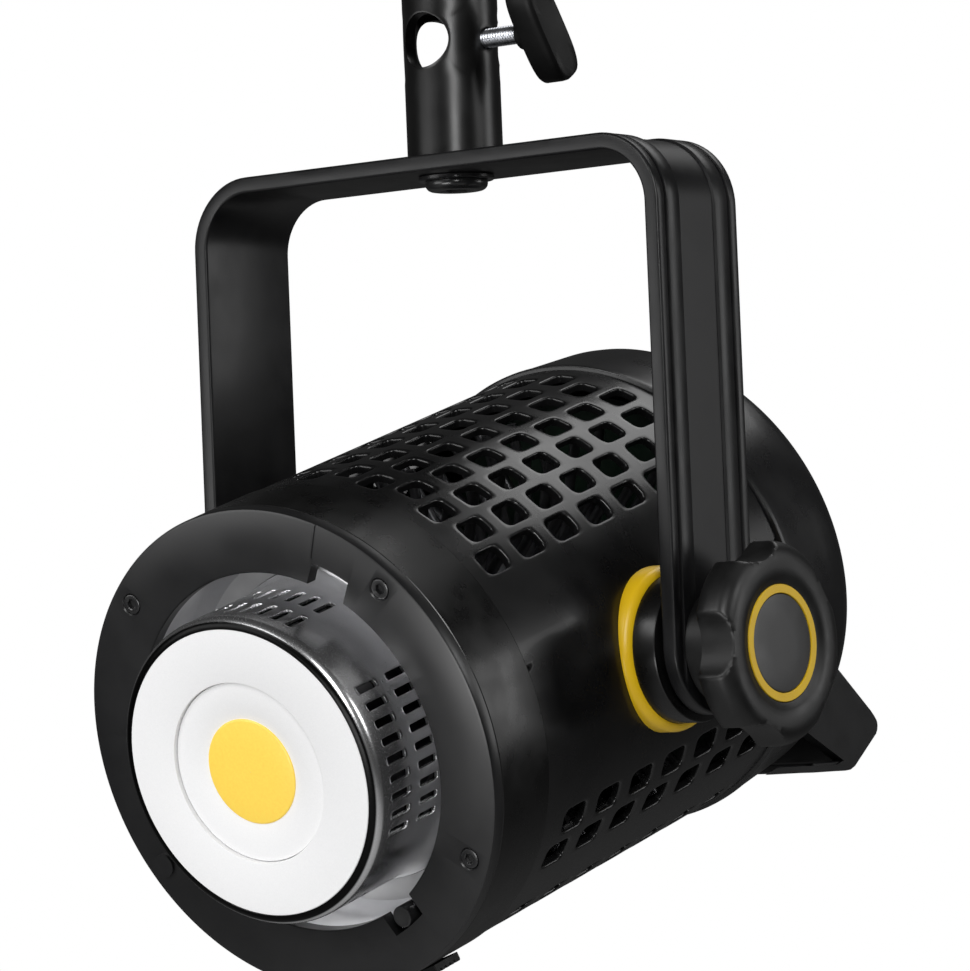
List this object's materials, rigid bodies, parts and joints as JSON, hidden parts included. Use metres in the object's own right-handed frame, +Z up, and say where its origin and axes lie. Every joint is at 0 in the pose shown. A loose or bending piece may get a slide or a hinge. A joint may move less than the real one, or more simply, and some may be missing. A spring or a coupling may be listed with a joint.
{
  "type": "studio light head",
  "caption": "LED light head with vented round body, raised lamp cup and bayonet throat, tilting between two clamp knobs in a U yoke under a spigot tube",
  "frame": {"origin": "centre of the spigot tube's open top mouth", "axes": "+Z up along the spigot bore, out of its mouth; the lamp faces -Y; +X is the tilt axis, to the side of the spigot clamp's wing"},
  "size_m": [0.2278, 0.2826, 0.3067],
  "materials": {
    "gloss_black_paint": "gloss black enamel",
    "black_steel": "black oxide steel, satin",
    "zinc_steel": "zinc plated, satin",
    "brass": "satin",
    "black_plastic": "fine matt texture",
    "textured_black_paint": "fine textured black powder coat",
    "nylon": "matt natural nylon",
    "satin_black_metal": "satin black paint",
    "yellow_anodised": "yellow anodised, satin",
    "yellow_ink": "yellow enamel fill",
    "grey_badge": "fine matt grey",
    "face_plate_black": "fine textured satin black",
    "polished_aluminium": "polished",
    "white_face": "satin white",
    "led_phosphor": "matt yellow phosphor",
    "raw_aluminium": "cast and machined, matt",
    "grille_black": "fine textured black powder coat",
    "cap_black_plastic": "satin moulded black",
    "panel_black": "satin",
    "display_glass": "dark tinted clear window",
    "grey_rubber": "matt",
    "rocker_plastic": "gloss",
    "circuit_board": "green solder mask",
    "component_black": "matt"
  },
  "bodies": {
    "yoke_and_tube": {"spigot_tube": "gloss_black_paint", "tube_bolt": "black_steel", "tube_washer": "zinc_steel", "yoke": "textured_black_paint", "friction_washer_right": "nylon", "friction_washer_left": "nylon"},
    "clamp_pad": {"clamp_pad": "brass"},
    "clamp_turner": {"clamp_screw": "zinc_steel", "clamp_wing": "black_plastic"},
    "head": {"tilt_stud_right": "zinc_steel", "tilt_stud_left": "zinc_steel", "pivot_hub_right": "satin_black_metal", "pivot_hub_left": "satin_black_metal", "pivot_ring_right": "yellow_anodised", "pivot_ring_left": "yellow_anodised", "front_housing": "satin_black_metal", "face_plate": "face_plate_black", "plate_screws": "black_steel", "throat_liner": "polished_aluminium", "led_cup": "polished_aluminium", "cup_face": "white_face", "led_board": "white_face", "led_disc": "led_phosphor", "lamp_boss": "raw_aluminium", "heat_sink": "raw_aluminium", "vent_shell": "grille_black", "rear_cap": "cap_black_plastic", "rear_panel": "panel_black", "display_window": "display_glass", "rocker_bezel": "black_plastic", "power_inlet": "zinc_steel", "inlet_pins": "brass", "rear_foot": "cap_black_plastic", "foot_screws": "black_steel", "driver_board": "circuit_board", "board_posts": "brass", "driver_block": "component_black"},
    "knob_right": {"tilt_knob_right": "black_plastic", "knob_ring_right": "yellow_ink", "knob_badge_right": "grey_badge"},
    "knob_left": {"tilt_knob_left": "black_plastic", "knob_ring_left": "yellow_ink", "knob_badge_left": "grey_badge"},
    "lock": {"lock_pin": "black_steel", "lock_carrier": "zinc_steel", "lock_slider": "black_plastic"},
    "dial_left": {"dial_left": "black_plastic"},
    "dial_right": {"dial_right": "black_plastic"},
    "mode_button": {"mode_button": "grey_rubber"},
    "group_button": {"group_button": "grey_rubber"},
    "power_rocker": {"power_rocker": "rocker_plastic"}
  },
  "joints": [
    {"name": "head_tilt", "type": "hinge", "parent": "yoke_and_tube", "child": "head", "pos_m": [0, 0, -0.211], "axis": [1, 0, 0], "range_deg": [-106.3, 73.7]},
    {"name": "clamp_travel", "type": "slide", "parent": "yoke_and_tube", "child": "clamp_pad", "axis": [1, 0, 0], "range_m": [-0.002, 0]},
    {"name": "clamp_turn", "type": "hinge", "parent": "clamp_pad", "child": "clamp_turner", "pos_m": [0.02, 0, -0.0248], "axis": [1, 0, 0], "range_deg": [-740, 20]},
    {"name": "knob_right_turn", "type": "hinge", "parent": "head", "child": "knob_right", "pos_m": [0.1, 0, -0.211], "axis": [1, 0, 0], "range_deg": [0, 180]},
    {"name": "knob_left_turn", "type": "hinge", "parent": "head", "child": "knob_left", "pos_m": [-0.1, 0, -0.211], "axis": [-1, 0, 0], "range_deg": [0, 180]},
    {"name": "lock_slide", "type": "slide", "parent": "head", "child": "lock", "axis": [0, 0.9598, 0.2807], "range_m": [0, 0.005], "stiffness_N_per_m": 400, "springref_m": -0.004},
    {"name": "dial_left_turn", "type": "hinge", "parent": "head", "child": "dial_left", "pos_m": [-0.016, 0.09486, -0.17909], "axis": [0, 0.9598, 0.2807], "continuous": true},
    {"name": "dial_right_turn", "type": "hinge", "parent": "head", "child": "dial_right", "pos_m": [0.016, 0.09486, -0.17909], "axis": [0, 0.9598, 0.2807], "continuous": true},
    {"name": "mode_press", "type": "slide", "parent": "head", "child": "mode_button", "axis": [0, -0.9598, -0.2807], "range_m": [0, 0.0012], "stiffness_N_per_m": 800, "springref_m": -0.0005},
    {"name": "group_press", "type": "slide", "parent": "head", "child": "group_button", "axis": [0, -0.9598, -0.2807], "range_m": [0, 0.0012], "stiffness_N_per_m": 800, "springref_m": -0.0005},
    {"name": "power_switch", "type": "hinge", "parent": "head", "child": "power_rocker", "pos_m": [-0.015, 0.09988, -0.21409], "axis": [0, -0.2807, 0.9598], "range_deg": [0, 8]}
  ],
  "couplings": [
    {"joint": "clamp_turn", "follows": "clamp_travel", "rad_per_m": 6283.2}
  ]
}
